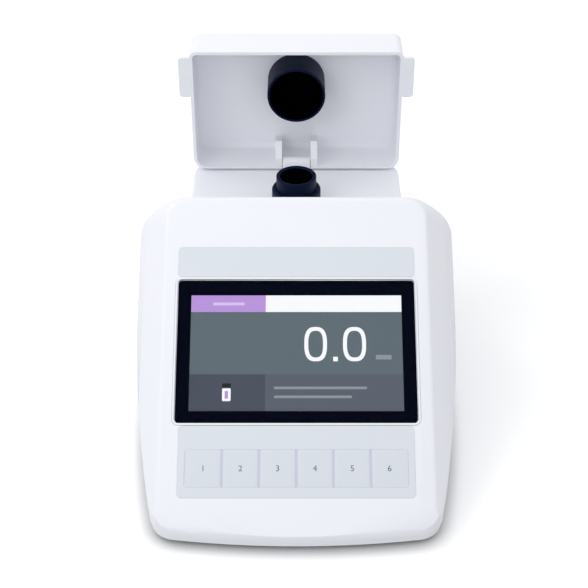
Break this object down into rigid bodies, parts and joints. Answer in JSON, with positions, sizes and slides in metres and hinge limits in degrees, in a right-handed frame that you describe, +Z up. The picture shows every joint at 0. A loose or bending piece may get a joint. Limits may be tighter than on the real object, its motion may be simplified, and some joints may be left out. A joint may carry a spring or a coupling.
{
  "type": "benchtop turbidity meter",
  "caption": "Benchtop turbidity meter with a sloping display and key panel, and a flip lid over the sample well on a rear deck",
  "frame": {"origin": "middle of the whole outline, lid open, on the surface it stands on", "axes": "+Z up, +X to the right seen from the front, the sloping panel faces -Y, the lid opens towards +Y"},
  "size_m": [0.2406, 0.343, 0.237],
  "materials": {
    "housing_white": "satin moulded ABS, very slightly cool white",
    "panel_film": "fine matte polyester film, pale grey",
    "key_film": "fine matte key caps, pale grey",
    "window_glass": "clear flat glass with a black printed border",
    "display_module": "display face, dark when off",
    "sheet_metal": "zinc plated sheet",
    "screw_steel": "zinc plated",
    "pin_steel": "ground steel",
    "board_green": "solder mask",
    "part_black": "moulded, fine texture",
    "optic_black": "black moulded, low sheen",
    "rubber_grey": "moulded rubber",
    "block_black": "black anodised, bead blasted",
    "sensor_can": "drawn can",
    "lamp_glass": "clear lamp glass",
    "lens_glass": "polished",
    "header_cream": "moulded nylon",
    "ribbon_tan": "polyimide ribbon",
    "port_metal": "drawn nickel plated shell"
  },
  "bodies": {
    "root": {"upper_shell": "housing_white", "base_tray": "housing_white", "rubber_feet": "rubber_grey", "base_screws": "screw_steel", "optics_screws": "screw_steel", "front_overlay": "panel_film", "header_overlay": "panel_film", "display_frame": "housing_white", "display_window": "window_glass", "lcd_panel": "display_module", "lcd_bracket": "sheet_metal", "lcd_screws": "screw_steel", "key_switches": "part_black", "key_board": "board_green", "hinge_block": "housing_white", "hinge_screws": "screw_steel", "lid_bumpers": "rubber_grey", "sample_well": "optic_black", "port_ring": "optic_black", "optical_block": "block_black", "optics_posts": "pin_steel", "lamp_holder": "optic_black", "through_detector_holder": "optic_black", "side_detector_holder": "optic_black", "through_detector": "sensor_can", "side_detector": "sensor_can", "lamp_bulb": "lamp_glass", "lamp_lens": "lens_glass", "main_board": "board_green", "board_spacers": "pin_steel", "board_screws": "screw_steel", "processor_chip": "part_black", "board_headers": "header_cream", "board_capacitors": "sensor_can", "display_ribbon": "ribbon_tan", "dc_jack": "part_black", "usb_port": "port_metal", "rear_board": "board_green", "power_switch_body": "part_black"},
    "lid": {"lid_shell": "housing_white", "light_shield_tube": "optic_black", "hinge_pin": "pin_steel"},
    "rocker": {"power_rocker": "part_black"},
    "key_body_1": {"key_1": "key_film"},
    "key_body_2": {"key_2": "key_film"},
    "key_body_3": {"key_3": "key_film"},
    "key_body_4": {"key_4": "key_film"},
    "key_body_5": {"key_5": "key_film"},
    "key_body_6": {"key_6": "key_film"}
  },
  "joints": [
    {"name": "lid_hinge", "type": "hinge", "parent": "root", "child": "lid", "pos_m": [0, 0.13801, 0.13599], "axis": [1, 0, 0], "range_deg": [0, 90]},
    {"name": "power_rocker_pivot", "type": "hinge", "parent": "root", "child": "rocker", "pos_m": [0.055, 0.14351, 0.03], "axis": [1, 0, 0], "range_deg": [-16, 0]},
    {"name": "key_1_press", "type": "slide", "parent": "root", "child": "key_body_1", "axis": [0, 0.5878, -0.809], "range_m": [0, 0.0004], "stiffness_N_per_m": 3000},
    {"name": "key_2_press", "type": "slide", "parent": "root", "child": "key_body_2", "axis": [0, 0.5878, -0.809], "range_m": [0, 0.0004], "stiffness_N_per_m": 3000},
    {"name": "key_3_press", "type": "slide", "parent": "root", "child": "key_body_3", "axis": [0, 0.5878, -0.809], "range_m": [0, 0.0004], "stiffness_N_per_m": 3000},
    {"name": "key_4_press", "type": "slide", "parent": "root", "child": "key_body_4", "axis": [0, 0.5878, -0.809], "range_m": [0, 0.0004], "stiffness_N_per_m": 3000},
    {"name": "key_5_press", "type": "slide", "parent": "root", "child": "key_body_5", "axis": [0, 0.5878, -0.809], "range_m": [0, 0.0004], "stiffness_N_per_m": 3000},
    {"name": "key_6_press", "type": "slide", "parent": "root", "child": "key_body_6", "axis": [0, 0.5878, -0.809], "range_m": [0, 0.0004], "stiffness_N_per_m": 3000}
  ]
}
